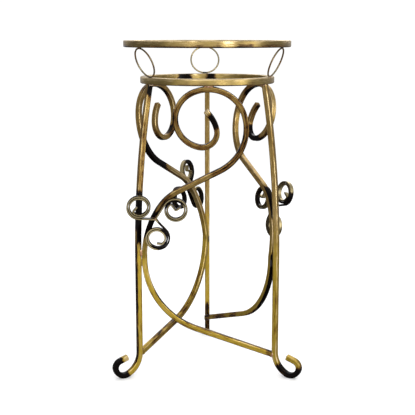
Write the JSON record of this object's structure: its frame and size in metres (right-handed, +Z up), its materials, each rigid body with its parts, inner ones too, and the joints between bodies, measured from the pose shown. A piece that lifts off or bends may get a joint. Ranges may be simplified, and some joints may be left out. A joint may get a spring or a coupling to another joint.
{
  "type": "plant stand",
  "caption": "Tall plant stand of bent square iron bar: two open rings one above the other on scroll-footed legs, with a large scroll and a spray of strip curls in each panel.",
  "frame": {"origin": "on the floor under the common axis of the two rings", "axes": "+Z up along the axis of the rings; -Y towards the front panel, which faces the viewer of the picture; +X to the right seen from the front, so one leg is at the back on +Y"},
  "size_m": [0.3562, 0.3593, 0.627],
  "materials": {
    "ring": "bronze-gold rubbed thinly over black, satin, blotched",
    "loop": "dark bronze with worn pale highlights, satin",
    "leg": "old gold brushed over black along the bar, black feet, satin",
    "scroll": "old gold brushed over black, black undersides, satin",
    "curl": "olive gold on the strip's edges, black on its flat sides, satin"
  },
  "bodies": {
    "root": {"top_ring": "ring", "seat_ring": "ring", "loop_left": "loop", "loop_right": "loop", "loop_back": "loop", "leg_left": "leg", "leg_right": "leg", "leg_back": "leg", "scroll_front": "scroll", "scroll_right": "scroll", "scroll_left": "scroll", "curl_front_a": "curl", "curl_front_b": "curl", "curl_front_c": "curl", "curl_right_a": "curl", "curl_right_b": "curl", "curl_right_c": "curl", "curl_left_a": "curl", "curl_left_b": "curl", "curl_left_c": "curl"}
  },
  "joints": []
}
